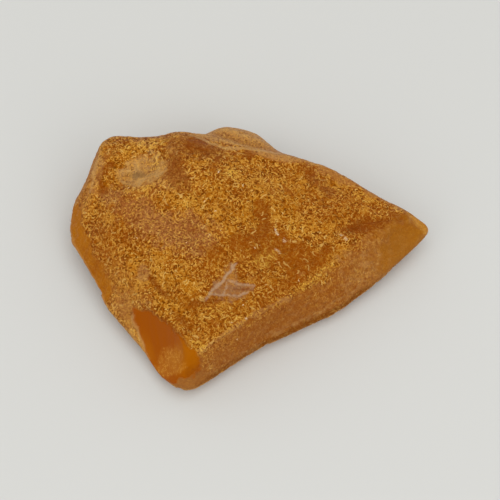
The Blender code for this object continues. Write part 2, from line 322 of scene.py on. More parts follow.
# Thin lines on the skin: each line's width in mm and strength, and its corners
LINES = {
    # Pale lines along the crest, the rims of the dish and the edges of the side face and of the foot break: painted
    # highlights
    "highlight_line": (
        (1.3, 1.0, (-13.6, 26.4), (-11.3, 25.6), (-9.4, 24.4), (-7.6, 23.7), (-5.3, 23.3), (-2.5, 23.2), (0.2, 23.2),
         (3.0, 23.1), (7.1, 23.0)),
        (1.4, 0.7, (-36.4, 13.6), (-35.9, 15.5), (-35.7, 17.4), (-35.5, 19.0), (-34.9, 20.9)),
        (1.0, 0.7, (-29.4, 15.8), (-28.0, 15.0), (-26.3, 13.7), (-24.7, 14.0)),
        (0.6, 0.35, (-4.6, -25.3), (-2.0, -23.5), (2.0, -20.5), (4.6, -18.7), (6.9, -17.4), (11.4, -15.2),
         (15.9, -12.8), (20.4, -10.0), (25.1, -6.5)),
        (1.2, 0.7, (-26.2, -15.4), (-24.9, -18.0), (-23.7, -20.6), (-22.6, -23.6)),
    ),
    # Pale lines in the scar: pale streaks of its film, with painted highlights along them and along the rims of the
    # slit
    "scar_streak_and_highlight": (
        (0.8, 0.9, (-3.2, -6.4), (-4.6, -8.2), (-6.4, -10.6), (-8.4, -13.1), (-9.6, -14.7)),
        (0.7, 0.9, (-4.4, -9.6), (-2.6, -10.6), (-0.9, -10.9), (1.1, -11.2)),
        (0.7, 0.6, (-5.4, -9.4), (-5.0, -11.6), (-5.8, -13.6)),
        (0.8, 0.8, (-8.8, -13.4), (-6.8, -13.6), (-4.8, -13.2), (-2.4, -13.2), (-0.6, -12.6)),
    ),
    # Dark lines in the slit of the scar, in creases and along the edges of the foot break: painted shade
    "crease_shade_line": (
        (0.7, 0.9, (-3.4, -11.9), (-1.8, -11.9), (-0.4, -11.7)),
        (0.9, 0.6, (-24.8, -6.2), (-21.8, -9.2), (-19.5, -11.7), (-16.1, -15.1)),
        (1.0, 0.7, (-23.3, -14.8), (-18.8, -18.0), (-15.1, -22.2), (-13.4, -24.4)),
        (2.0, 0.6, (2.9, 9.2), (3.6, 7.6), (4.0, 5.4), (3.8, 2.8), (2.9, 0.6)),
        (0.9, 0.8, (-13.4, 4.2), (-11.8, 3.6), (-10.2, 3.1)),
        (1.8, 0.6, (-13.4, -29.0), (-11.2, -28.1)),
    ),
    # Painted glints: small highlights at given places
    "glint_line": (
        (0.8, 1.0, (20.4, 2.6), (20.8, 2.2)),
        (0.8, 1.0, (21.4, 1.7), (21.7, 1.5)),
        (0.7, 0.7, (5.8, 2.6), (6.3, 1.4)),
        (0.7, 0.8, (7.7, 0.4), (7.9, 0.1)),
        (0.6, 0.7, (6.0, -1.8), (6.8, -2.7)),
        (0.7, 0.8, (-6.9, 15.6), (-6.8, 15.2)),
        (0.8, 0.9, (-0.8, -18.2), (-0.6, -18.4)),
    ),
}
SCAR_DEPTH = 0.22
SCAR_SLIT = (-3.4, -11.9, -0.4, -11.7, 0.7, 0.35)
# Heights over which the darker band low on the side face fades: painted shade of the undercut, over clear resin
UNDERCUT_SHADE_HEIGHTS = (3.4, 5.4)
LINE_RAGGEDNESS = 0.3

# Coloured and cloudy places on the skin: x, y, direction of the long axis, length, breadth, strength
PATCHES = {
    "cloudy": (
        (-28.5, -9.0, -52, 26, 11, 0.5),
        (-28.0, -13.0, -60, 15, 5.5, 1.0),
        (-36.6, 15.0, 68, 24, 5, 0.8),
        (34.0, 1.6, 38, 16, 9, 0.7),
        (-23.0, 13.6, 10, 18, 12, 0.5),
        (-18.0, 14.0, 30, 10, 8, 0.5),
        (6.0, 13.0, 20, 16, 8, 0.3),
    ),
    "clear": (
        (-8.4, -4.0, -30, 8, 6, 0.6),
        (9.6, -8.8, 36, 15, 4, 0.7),
        (-13.0, -15.0, 10, 8, 4, 0.5),
        (-10.0, -9.0, 60, 8, 4, 0.5),
    ),
    "red": (
        (25.0, 5.0, 24, 12, 4.2, 1.0),
        (34.6, 8.3, 10, 5, 2.0, 1.0),
        (-9.8, -15.2, 8, 12, 2.2, 0.9),
        (-14.6, -19.0, -50, 8, 2.2, 0.8),
        (-26.4, 1.2, -20, 7, 3.0, 0.5),
        (-20.4, -10.6, -52, 12, 2.0, 0.8),
        (-2.6, -8.6, -60, 4, 1.8, 0.6),
        (-12.4, 1.6, -20, 5, 2.2, 0.5),
        (-5.4, 6.4, -30, 7, 3, 0.4),
        (-16.4, 17.0, 70, 11, 6, 0.55),
        (-31.0, 24.0, 60, 9, 3, 0.4),
    ),
    "golden": (
        (2.6, -5.2, 40, 7.0, 4.2, 0.9),
        (5.0, -3.0, 0, 5, 2.8, 0.9),
        (16.8, -5.8, 40, 6, 2.4, 0.9),
        (-13.6, 8.0, 50, 6, 3.8, 0.9),
        (-3.9, 15.2, 0, 6, 4, 0.9),
        (26.5, 12.9, -25, 6, 3, 0.8),
        (-10.8, -25.0, -50, 5.0, 3.4, 1.0),
        (13.0, -9.4, 36, 13, 2.2, 1.0),
        (-24.0, 24.2, 6, 18, 4, 0.8),
        (-7.0, -17.6, 10, 14, 7, 0.4),
        (-21.2, 19.2, 80, 6, 3.0, 0.7),
        (-23.4, 12.4, 4, 10, 2.0, 0.7),
        (-3.0, -18.6, 20, 10, 5, 0.4),
        (11.0, 4.0, 20, 8, 4, 0.4),
        (-37.0, 11.6, 60, 5, 2.6, 0.6),
    ),
    "haze": (
        (-17.4, -25.6, -40, 8.0, 5.6, 0.9),
        (-18.8, -27.0, -30, 7.0, 3.4, 0.9),
        (-15.6, -28.0, 0, 5.0, 2.4, 0.8),
        (-26.0, -17.4, -60, 8, 1.6, 0.6),
    ),
    "glow": (
        (-13.6, -26.4, -50, 10.0, 8.0, 1.0),
        (-22.6, -22.0, -65, 11.0, 3.6, 0.6),
    ),
    "grey": (
        (-25.6, 17.2, -10, 5.4, 2.6, 1.0),
        (36.8, -1.0, 36, 4, 2.4, 0.5),
    ),
    # Deeper resin colour: over the front slopes it is painted shade that cancels the haze of the window light's
    # reflection; the other patches deepen the tone
    "tone_and_shade_wash": (
        (2.0, -15.0, 32, 60, 24, 1.0),
        (-31.0, 3.0, 62, 26, 13, 0.8),
        (20.0, 9.0, -25, 40, 18, 0.7),
        (-4.0, -6.0, 0, 26, 12, 0.7),
    ),
}
CLOUDY_WALL = 0.85
SIDE_GRAIN = math.radians(-33)

# How sharply the skin bends, in 1 per mm, where a paler ridge (wear and painted highlight) or a darker dip (painted
# shade) starts and is full
RIDGE_BENDS = (0.06, 0.22)
GROOVE_SHADE_BENDS = (0.03, 0.14)
EVENING_PASSES = 4

# Noises of the material: size in mm, detail, roughness
NOISES = {
    "fine": (0.42, 2.0, 0.6),
    "grain": (0.5, 2.0, 0.5),
    "small": (0.8, 3.0, 0.6),
    "drawn_out": (0.8, 2.0, 0.6),
    "medium": (1.2, 3.0, 0.6),
    "large": (2.2, 3.0, 0.6),
    "broad": (7.0, 3.0, 0.55),
}
SIDE_STRETCH = (0.15, 1.0, 1.0)

# Each zone's edge: its noise, its raggedness and, unless it has the usual edge, its softness and stray share
USUAL_EDGE = (0.5, 0.0)
NEAR_ZONE = (0.0, 0.2)
EDGES = {
    "cloudy": ("large", 0.55),
    "trough": ("large", 0.60),
    "side": ("medium", 0.40),
    "hump": ("medium", 0.35),
    "brown": ("large", 0.60, 0.5, 0.8),
    "clear": ("large", 0.70, 0.5, 0.8),
    "red": ("medium", 0.70, 0.5, 0.8),
    "golden": ("medium", 1.10, 0.5, 0.8),
    "haze": ("small", 1.00),
    "glow": ("large", 0.25),
    "grey": ("medium", 0.60),
    "fresh": ("small", 0.20, 0.40, 0.0),
    "scar": ("small", 0.80),
    "film": ("medium", 0.80),
    "facet": ("small", 0.50),
    "edge_band": ("medium", 0.60),
    "clear_edge_glow": ("medium", 0.50),
    "corner": ("medium", 0.60),
    "stain": ("medium", 0.70),
    "dulled": ("large", 0.60),
    "specked": ("large", 0.60),
    "tone_and_shade_wash": ("large", 0.80),
    "glint_line": ("small", 0.40, 0.30, 0.0),
    "amber_tip": ("large", 0.60),
    "tip_haze": ("small", 0.60),
    "undercut_shade": ("medium", 0.40),
    "highlight_line": ("small", 0.50),
    "scar_streak_and_highlight": ("small", 0.70),
    "crease_shade_line": ("small", 0.60),
    "ridge": ("medium", 0.70),
    "groove_shade": ("medium", 0.70),
}

# The crackle, with sizes as multiples of its cells per metre. Straws: cells, thickness, length, share
CURLED_NOISE = (0.4, 0.5, 0.8)
GRAIN_CELLS = 1.7
GRAIN_NOISE = (0.0, 0.5, 0.5)
GRAIN_SHARE = 0.3
LARGER_STRAWS = (0.74, 0.14, 0.40, 0.85)
SMALLER_STRAWS = (0.95, 0.15, 0.40, 0.75)
STREAKS = (0.46, 0.11, 0.46)
MID_COLOUR = (0.5, 0.5, 0.5)
STRAW_CURL = 0.9
STRAW_LEAN = (1.0, 1.0, 0.15)
STRAW_SIDE = (0.4, 1.3)
STRAW_END = (1.0, 1.35)
LOT_EDGE = (1.0, 1.05)
ASIDE = (0.0, 0.0, 0.05)
BLOB_STEP = (0.52, 0.70, 0.0, 0.50)
# The crackle's low places, darkened as painted shade
PIT_STEP = (0.35, 0.50, 1.0, 0.0)
# Rare painted glints on the flecks: their cells, luck, raggedness, edge and hold on the flecks
SPARK_CELLS = 0.5
SPARK_LUCK = (0.975, 0.985)
SPARK_RAGGEDNESS = 0.3
SPARK_EDGE = (0.28, 0.42, 1.0, 0.0)
SPARK_ON_FLECK = (0.4, 0.8)
FLECK_LIFT = 0.3

# How far the zones calm the crackle, its flecks and the painted shade of its pits
CALMING = {
    "cloudy": 0.45, "side": 0.68, "hump": 0.40, "scar": 0.50, "film": 0.20, "facet": 0.50, "edge_band": 0.60,
    "clear_edge_glow": 0.92, "corner": 0.85, "stain": 0.35, "dulled": 0.15,
}
FLECK_CALMING = {"clear": 0.70, "red": 0.60, "brown": 0.45}
PIT_CALMING = {"clear": 0.85}
FLECK_STRENGTH = (0.32, 0.64, 0.70, 1.0)
PIT_STRENGTH = 0.95
GOLDEN_STREAKS = 0.45
PLAIN_STREAKS = 0.14
TIP_SMOOTHNESS = 0.9
BREAK_SMOOTHNESS = 0.85
HAZE_ON_FLECK = (0.0, 1.0, 0.35, 0.9)
BUSY_ZONES = ("dulled", "brown", "specked", "haze")

# Patches that a noise cuts: the zone they lie in, the noise, and the step: low, high, share below and above
PATCH_STEPS = {
    "sunk": (None, "broad", 0.36, 0.64),
    "shaded": (None, "broad", 0.56, 0.74),
    "mottled": (None, "large", 0.50, 0.70),
    "lightened": (None, "large", 0.34, 0.50, 1.0, 0.0),
    "darkened": ("side", "broad", 0.48, 0.68),
    "lined": ("side", "drawn_out", 0.46, 0.66),
    "cleared": ("clear", "medium", 0.46, 0.68),
    "filmed": ("film", "large", 0.30, 0.66, 0.3, 1.0),
    "scarred": ("scar", "large", 0.34, 0.62, 0.25, 1.0),
    "lucky_fleck": ("fleck", "small", 0.52, 0.66),
    "speck": ("rough_rind", "fine", 0.34, 0.50, 1.0, 0.0),
    "dust": ("rough_rind", "fine", 0.52, 0.66),
}

# The coloured layers over the resin, lowest first: mask, strength, colour
LAYERS = (
    ("sunk", 1.00, "deep"), ("lightened", 0.30, "gold"), ("mottled", 0.60, "deep"), ("brown", 0.90, "brown"),
    ("cloudy", 0.80, "cloud"), ("trough", 0.90, "rose"), ("side", 0.90, "side"), ("darkened", 0.30, "red"),
    ("lined", 0.45, "sand"), ("hump", 0.90, "sand"), ("shaded", 0.40, "brown"), ("clear", 1.00, "deep"),
    ("cleared", 0.55, "body"), ("filmed", 0.85, "film"), ("golden", 0.30, "gold"), ("red", 0.85, "red"),
    # The thin left edge's layer is clear resin with a painted glow; the wash over the front slopes is painted shade
    ("edge_band", 0.85, "cloud"), ("facet", 0.55, "sand"), ("clear_edge_glow", 0.90, "body"), ("tone_and_shade_wash", 0.40, "deep"),
    # The layer on inward bends is painted shade; the layer on ridges is wear and painted highlight
    ("stain", 0.80, "red"), ("groove_shade", 0.35, "red"), ("worn_and_highlit", 0.35, "film"), ("corner", 0.90, "side"),
    # The band low on the side face and the layer of the crackle's low places are painted shade
    ("undercut_shade", 0.90, "undercut_shade"), ("pit_shade", 1.00, "pit_shade"), ("fleck", 0.85, "gold"), ("lucky_fleck", 0.70, "straw"),
    # The pits of the specked zone are painted shade too, in a reddish colour
    ("streak", 0.60, "straw"), ("specked_pit_shade", 0.60, "red"), ("trough", 0.16, "rose"), ("brown", 0.26, "brown"),
    # The second wash is painted shade on the front slopes too
    ("red", 0.36, "red"), ("stain", 0.45, "red"), ("filmed", 0.28, "film"), ("tone_and_shade_wash", 0.24, "deep"),
    ("bright", 0.45, "glint"), ("amber_tip", 0.75, "amber"), ("dust", 0.10, "gold"), ("speck", 0.12, "pit_shade"),
    ("busy_speck", 0.40, "pit_shade"), ("tip_haze", 0.15, "sand"), ("fresh", 1.00, "fresh"), ("glowing", 0.32, "glow"),
    # The scar's pale lines are partly painted highlight
    ("hazed", 0.50, "gold"), ("grey", 0.65, "shade"), ("scarred", 0.38, "veil"), ("scar_streak_and_highlight", 0.50, "streak_and_highlight"),
    # The pale lines on the crest and edges and the glints are painted highlights; the dark crease lines are painted
    # shade
    ("highlight_line", 0.55, "film"), ("crease_shade_line", 0.60, "red"), ("glint_highlight", 0.90, "glint_highlight"),
)
ROUGH_GROUND = 0.55
ROUGH_FLECK = 0.36
ROUGHER_CLOUD = 0.12
ROUGH_BREAK = 0.26
GRAIN_HEIGHT = 0.15
BUMP_STRENGTH = 0.8
BUMP_DEPTH = 0.22 * MM


def screen_colour(shades):
    """A linear colour for three shades from 0 to 255, as a screen shows them."""
    share = np.array(shades) / 255
    return tuple(np.where(share <= 0.04045, share / 12.92, ((share + 0.055) / 1.055) ** 2.4))


def colour_setting(name, description, shades):
    """A colour that the user can change."""
    return FloatVectorProperty(
        name=name, description=description, default=screen_colour(shades), subtype="COLOR", min=0, max=1
    )


class CopalShape(bpy.types.PropertyGroup):
    """Sizes of the lump's fine relief."""

    cells: IntProperty(
        name="Grid cells", description="Cells along each side of the grid that folds into a half",
        default=220, min=40, max=222,
    )
    lumps: FloatProperty(
        name="Lumps", description="Depth of the small rounded hollows of the rind",
        default=0.20 * MM, unit="LENGTH",
    )
    pits: FloatProperty(
        name="Pits", description="Depth of the scattered pits", default=0.24 * MM, unit="LENGTH",
    )
    wrinkles: FloatProperty(
        name="Wrinkles", description="Depth of the worm-like wrinkles", default=0.13 * MM, unit="LENGTH",
    )
    ripples: FloatProperty(
        name="Ripples", description="Depth of the ripples in the fresh breaks",
        default=0.035 * MM, unit="LENGTH",
    )


class CopalResin(bpy.types.PropertyGroup):
    """Colours and measures of the resin."""

    deep: colour_setting("Deep resin", "Colour of the clear resin in its depth", (150, 72, 0))
    body: colour_setting("Resin", "Colour of the resin just under the rind", (178, 104, 8))
    brown: colour_setting("Brown rind", "Colour of the brown rind at the high back edge", (148, 80, 26))
    cloud: colour_setting("Cloudy rind", "Colour of the dull weathered rind", (174, 112, 54))
    rose: colour_setting("Rosy rind", "Colour of the dull pinkish valley", (166, 102, 54))
    side: colour_setting("Side face", "Colour of the smooth dull side", (162, 100, 43))
    sand: colour_setting("Sandy rind", "Colour of the pale rind of the hump", (190, 138, 80))
    # Painted shade of the undercut, over clear resin, low on the side face
    undercut_shade: colour_setting("Skirt", "Colour of the clear resin along the foot of the side", (124, 64, 6))
    gold: colour_setting("Golden flecks", "Colour of the lifted edges of the crackle", (236, 174, 70))
    straw: colour_setting("Straws", "Colour of the long streaks and the palest flecks", (248, 202, 112))
    glint: colour_setting("Yellow glints", "Colour of the brightest flecks", (242, 188, 66))
    # Painted glints: the few flecks that catch the light
    glint_highlight: colour_setting("Glint Highlights", "Colour of the few flecks that catch the light", (255, 224, 176))
    # Painted shade in the low places of the crackle; the dark specks take this colour too
    pit_shade: colour_setting("Crackle pits", "Colour between the flecks", (108, 50, 0))
    film: colour_setting("Pale film", "Colour of the palest worn places", (208, 163, 100))
    shade: colour_setting("Grey film", "Colour of the grey places in the film", (142, 108, 66))
    veil: colour_setting("Scar", "Colour of the film in the scar", (164, 136, 104))
    # Pale streaks of the scar, partly painted highlight
    streak_and_highlight: colour_setting("Scar lines", "Colour of the pale lines in the scar", (206, 176, 144))
    # This reddish colour is also laid as painted shade: in the dark crease lines, where the skin bends inward and in
    # the specked zone's pits
    red: colour_setting("Iron stain", "Colour of the dark reddish places", (138, 63, 2))
    fresh: colour_setting("Fresh break", "Colour of the smooth shell-shaped break", (166, 81, 0))
    glow: colour_setting("Bright break", "Colour where light comes through the break", (194, 120, 4))
    amber: colour_setting("Amber tip", "Colour of the smooth thin tip", (165, 101, 18))
    crackle: FloatProperty(
        name="Crackle size", description="Width of one cell of the crackle", default=0.62 * MM, unit="LENGTH",
    )
    clearness: FloatProperty(
        name="Clearness", description="Share of the light that goes into the resin", default=0.20,
        min=0, max=1, subtype="FACTOR",
    )
    bending: FloatProperty(name="Index of refraction", description="How strongly it bends light", default=1.54)
    gloss: FloatProperty(name="Gloss", description="Strength of the rind's reflections", default=0.06, min=0, max=1)
    sheen: colour_setting("Reflection tint", "Tint of the rind's reflections", (255, 196, 97))
    absorbed: colour_setting("Depth tint", "Tint that deep resin gives to light", (255, 205, 96))
    absorbing: FloatProperty(
        name="Absorption", description="How fast the tint deepens, per metre of resin", default=240.0,
    )


class CopalStage(bpy.types.PropertyGroup):
    """The floor, the light and the camera."""

    floor: colour_setting("Floor", "Colour of the plain floor", (206, 206, 202))
    elevation: FloatProperty(
        name="Camera height angle", description="How steeply the camera looks down",
        default=math.radians(60), subtype="ANGLE",
    )
    distance: FloatProperty(
        name="Camera distance", description="From the camera to the lump", default=0.320, unit="LENGTH",
    )
    ceiling: FloatProperty(name="Ceiling light", description="Power of the wide light above, in watts", default=1.2)
    window: FloatProperty(name="Window light", description="Power of the soft light at the side, in watts", default=1.0)
    fill: FloatProperty(name="Fill light", description="Power of the soft light at the left, in watts", default=0.8)
    surround: FloatProperty(name="Surround", description="Brightness of the room", default=0.80)


def closed_curve(table, place):
    """Each column of the table at a share of the way round, and its rate, by a closed cubic curve."""
    rows = len(table)
    step = np.floor(place * rows).astype(int)
    f = (place * rows - step)[..., None]
    before, start, end, after = (table[(step + k) % rows] for k in (-1, 0, 1, 2))
    square = 2 * before - 5 * start + 4 * end - after
    cube = 3 * (start - end) + after - before
    value = start + 0.5 * f * ((end - before) + f * (square + f * cube))
    rate = 0.5 * ((end - before) + f * (2 * square + 3 * f * cube))
    return value, rate


def evened(values, spread):
    """A closed run of values, each averaged with its neighbours to about that share of the run."""
    count = len(values)
    turns = np.fft.rfftfreq(count, 1 / count)
    return np.fft.irfft(np.fft.rfft(values) * np.exp(-2 * (math.pi * spread * turns) ** 2), count)


def walk_outline(turn):
    """The outline's columns, and how far it lies from the heart square to itself, at a share of its length."""
    table = np.array(OUTLINE, float)
    fine = np.linspace(0, 1, CURVE_STEPS, endpoint=False)
    value, rate = closed_curve(table, fine)
    outward = np.stack([rate[:, 1], -rate[:, 0]], axis=1)
    outward /= np.linalg.norm(outward, axis=1, keepdims=True)
    breadth = evened(np.sum((value[:, :2] - HEART) * outward, axis=1), FLANK_EVENING)
    loop = np.append(fine, 1.0)
    points = closed_curve(table, loop)[0][:, :2]
    run = np.append(0, np.cumsum(np.linalg.norm(np.diff(points, axis=0), axis=1)))
    place = np.interp(turn, run / run[-1], loop)
    return closed_curve(table, place)[0], np.interp(place, fine, breadth, period=1)


def lower_of(a, b, blend):
    """The lower of two heights, with the crease between them rounded."""
    near = np.clip(1 - np.abs(a - b) / blend, 0, 1)
    return np.minimum(a, b) - blend / 4 * near**2


def upper_of(a, b, blend):
    """The higher of two heights, with the crease between them rounded."""
    return -lower_of(-a, -b, blend)


def smooth_step(value, low, high):
    """0 below low, 1 above high, and an S-shaped rise between them."""
    share = np.clip((value - low) / (high - low), 0, 1)
    return share * share * (3 - 2 * share)


def flank_rise(inward, slope):
    """Height gained inward of the edge: upright at the edge, then a straight slope."""
    return np.sqrt((inward * np.tan(np.radians(slope))) ** 2 + 2 * EDGE_RADIUS * inward)


def cap_height(x, y):
    """Height of the faces that cap the lump."""
    height = np.full_like(x, SKY)
    for at_x, at_y, at_z, downhill, dip, rounding in TOP_FACES.values():
        way = math.radians(downhill)
        run = (x - at_x) * math.cos(way) + (y - at_y) * math.sin(way)
        height = lower_of(height, at_z - run * math.tan(math.radians(dip)), rounding)
    return height


def disc_from_square(a, b):
    """Share of the way out and share of the way round for a point of a square.

    The way out is the larger of |a| and |b|. The way round goes evenly along that smaller square.
    """
    out = np.maximum(np.abs(a), np.abs(b))
    whole = np.where(out == 0, 1, out)
    sideways = np.abs(a) >= np.abs(b)
    eighths = np.where(
        sideways,
        np.where(a >= 0, b / whole, 4 - b / whole),
        np.where(b >= 0, 2 - a / whole, 6 + a / whole),
    )
    return out, (eighths / 8) % 1


def lump_half(a, b, upper):
    """Points of the upper or the lower half for points of a square, in mm.

    A point lies a share of the way from the heart to the outline. The upper half is the lower of the
    capping faces and a flank that rises from the outline; the lower half is the higher of the table
    and a flank that falls from it.
    """
    out, turn = disc_from_square(a, b)
    share = 1 - (1 - out) ** RIM_CROWDING
    line, breadth = walk_outline(turn)
    place = np.array(HEART) + share[:, None] * (line[:, :2] - HEART)
    inward = (1 - share) * breadth
    level = line[:, 2]
    if upper:
        flank = level + flank_rise(inward, line[:, 3])
        height = lower_of(cap_height(place[:, 0], place[:, 1]), flank, FLANK_BLEND)
    else:
        flank = level - flank_rise(inward, line[:, 4])
        height = upper_of(flank, np.zeros_like(flank), BASE_BLEND)
    height = np.where(out >= 1, level, height)
    return np.column_stack([place, height])


def folded_grid(cells):
    """Points and four-sided faces of the closed lump: two squares that share their rim.

    The upper square's faces turn anticlockwise seen from above and the lower one's turn the other way,
    so that all of them face outwards.
    """
    line = np.linspace(-1, 1, cells + 1)
    a, b = (side.ravel() for side in np.meshgrid(line, line, indexing="ij"))
    inside = np.maximum(np.abs(a), np.abs(b)) < 1
    points = np.vstack([lump_half(a, b, True), lump_half(a[inside], b[inside], False)])
    upper = np.arange(a.size)
    lower = upper.copy()
    lower[inside] = a.size + np.arange(inside.sum())
    faces = []
    for index, turned in ((upper, 1), (lower, -1)):
        at = index.reshape(cells + 1, cells + 1)
        corners = (at[:-1, :-1], at[1:, :-1], at[1:, 1:], at[:-1, 1:])
        faces.append(np.stack([c.ravel() for c in corners[::turned]], axis=1))
    return points, np.vstack(faces)


def outward_directions(points, faces):
    """The unit outward direction at each point: the sum of the cross products of its faces' diagonals."""
    one, two, three, four = (points[faces[:, k]] for k in range(4))
    cross = np.cross(three - one, four - two)
    total = np.empty_like(points)
    for axis in range(3):
        total[:, axis] = np.bincount(faces.ravel(), np.repeat(cross[:, axis], 4), len(points))
    return total / np.linalg.norm(total, axis=1, keepdims=True)


def bend_of_skin(points, faces, outward, passes):
    """How strongly the skin bends out (above 0) or in (below 0) at each point, in 1 per mm.

    Along each side of a face it is the change of the outward direction over the distance squared, in the
    direction of that side. Averaging over the faces again and again then evens it out.
    """
    bends = []
    for k in range(4):
        start, end = faces[:, k], faces[:, (k + 1) % 4]
        run = points[end] - points[start]
        turned = np.sum((outward[end] - outward[start]) * run, axis=1)
        bends.append(turned / np.maximum(np.sum(run * run, axis=1), 1e-6))
    value = np.mean(bends, axis=0)
    corners = faces.ravel()
    around = np.bincount(corners, minlength=len(points))
    for _ in range(passes):
        spread = np.bincount(corners, np.repeat(value, 4), len(points)) / around
        value = spread[faces].mean(axis=1)
    return np.bincount(corners, np.repeat(value, 4), len(points)) / around


def oval_mask(points, oval):
    """1 in the middle of an oval patch, falling to 0 at its edge: the square of 1 less the distance squared."""
    x, y, turn, length, breadth = oval
    way = math.radians(turn)
    dx = points[:, 0] - x
    dy = points[:, 1] - y
    along = (dx * math.cos(way) + dy * math.sin(way)) * 2 / length
    across = (dy * math.cos(way) - dx * math.sin(way)) * 2 / breadth
    return np.clip(1 - along**2 - across**2, 0, 1) ** 2


def swell(points, rising):
    """Raises or sinks the upper skin over oval patches that fade out at their edges."""
    lift = sum(oval[-1] * oval_mask(points, oval[:-1]) for oval in SWELLS.values())
    return points + np.outer(lift * rising, (0, 0, 1))


def facing(turn, lift):
    """The unit direction for a turn from +X and a lift above the table, in degrees."""
    turn = math.radians(turn)
    lift = math.radians(lift)
    level = math.cos(lift)
    return np.array([level * math.cos(turn), level * math.sin(turn), math.sin(lift)])


def break_away(points):
    """Cuts the skin back to the inside of a shallow ball wherever a shell-shaped break bites it.

    Also gives the distance of each point from the middle of the break that has ripples.
    """
    for name, (x, y, z, turn, lift, radius, depth) in BREAKS.items():
        out = facing(turn, lift)
        ball = (radius**2 + depth**2) / (2 * depth)
        from_middle = points - (x, y, z)
        height = from_middle @ out
        aside = np.linalg.norm(from_middle - np.outer(height, out), axis=1)
        bowl = ball - depth - np.sqrt(np.clip(ball**2 - aside**2, 0, None))
        excess = upper_of(height - bowl, np.zeros(len(points)), BREAK_BLEND)
        reach = np.clip((BREAK_SPREAD * radius - aside) / (BREAK_FADE * radius), 0, 1)
        points = points - np.outer(excess * reach, out)
        if name == RIPPLED_BREAK:
            run = aside
    return points, run


def wave(points, outward):
    """Slow natural waves along the skin's own outward directions, none where the lump rests."""
    x, y, z = points.T
    phases = []
    for length, direction, _, phase in WAVES:
        way = math.radians(direction)
        run = x * math.cos(way) + y * math.sin(way) + WAVE_CLIMB * z
        phases.append(2 * math.pi * run / length + phase)
    height = np.zeros(len(points))
    for (_, _, size, _), own, other in zip(WAVES, phases, phases[1:] + phases[:1]):
        height += size * np.sin(own + WAVE_BEND * np.sin(other))
    height *= np.clip(z / WAVE_FADE, 0, 1)
    height *= WAVE_ON_FLANKS + (1 - WAVE_ON_FLANKS) * np.clip(outward[:, 2], 0, 1)
    return points + outward * height[:, None]


def scatter(corner, seed):
    """A number from 0 to 1 for each whole-numbered corner, always the same: its digits are mixed and cut."""
    x, y, z = corner.astype(np.uint64).T
    mixed = x * np.uint64(374761393) + y * np.uint64(668265263) + z * np.uint64(2246822519)
    mixed = mixed + np.uint64(seed * 3266489917)
    for shift, factor in ((15, 2246822519), (13, 3266489917)):
        mixed = ((mixed ^ (mixed >> np.uint64(shift))) * np.uint64(factor)) & np.uint64(0xFFFFFFFF)
    return (mixed ^ (mixed >> np.uint64(16))) / 0xFFFFFFFF


def cloud_noise(points, size, seed):
    """Smooth noise from -1 to 1: scattered numbers at the corners of cubes, eased between them."""
    place = points / size + 512
    corner = np.floor(place)
    part = place - corner
    part = part**3 * (part * (part * 6 - 15) + 10)
    total = np.zeros(len(points))
    for step in np.ndindex(2, 2, 2):
        weight = np.prod(np.where(np.array(step) == 1, part, 1 - part), axis=1)
        total += weight * scatter(corner + step, seed)
    return 2 * total - 1


def warped_noise(points, size, seed):
    """Smooth noise read at places that two other noises have pushed about, so that it curls."""
    push = np.stack([cloud_noise(points, size * 1.6, seed + k) for k in (1, 2, 3)], axis=1)
    return cloud_noise(points + push * size * 0.7, size, seed)


def crease_mask(points, crease):
    """1 along a straight crease, seen from above, falling to 0 at its sides and its tapered ends."""
    x0, y0, x1, y1, width = crease
    start = np.array([x0, y0])
    run = np.array([x1, y1]) - start
    along = np.clip(((points[:, :2] - start) @ run) / (run @ run), 0, 1)
    aside = np.linalg.norm(points[:, :2] - start - along[:, None] * run, axis=1)
    return np.clip(1 - (2 * aside / width) ** 2, 0, 1) ** 2


def nearest_side(place, corners):
    """Distance from each place to the nearest side of a run of corners."""
    nearest = np.full(len(place), np.inf)
    for start, end in zip(corners[:-1], corners[1:]):
        run = end - start
        away = place - start
        along = np.clip((away @ run) / (run @ run), 0, 1)
        nearest = np.minimum(nearest, np.linalg.norm(away - along[:, None] * run, axis=1))
    return nearest


def fraying(points):
    """How far two noises of different sizes move each point sideways, for ragged edges."""
    bend = np.stack([cloud_noise(points, 1.5, seed) for seed in (61, 62)], axis=1)
    return bend + 0.5 * np.stack([cloud_noise(points, 0.7, seed) for seed in (63, 64)], axis=1)


def drawn_mask(points, frays, drawn):
    """1 inside a drawn edge, seen from above, and 0 outside, by the signed distance to its nearest side.

    A place is inside where a line from it towards +X crosses the edge an odd number of times.
    """
    softness, raggedness, *corners = drawn
    place = points[:, :2] + raggedness * frays
    loop = np.array(corners + corners[:1])
    inside = np.zeros(len(points), bool)
    for start, end in zip(loop[:-1], loop[1:]):
        spans = (start[1] > place[:, 1]) != (end[1] > place[:, 1])
        level = 1 if end[1] == start[1] else end[1] - start[1]
        inside ^= spans & (place[:, 0] - start[0] < (end[0] - start[0]) * (place[:, 1] - start[1]) / level)
    nearest = nearest_side(place, loop)
    return smooth_step(np.where(inside, nearest, -nearest), -softness, softness)


def line_mask(points, frays, drawn):
    """The line's strength along its middle, falling to 0 at its sides."""
    width, strength, *corners = drawn
    aside = nearest_side(points[:, :2] + LINE_RAGGEDNESS * frays, np.array(corners))
    return strength * np.clip(1 - (2 * aside / width) ** 2, 0, 1)


def highest(masks):
    """The highest of several masks at each point."""
    return np.max(np.stack(list(masks)), axis=0)


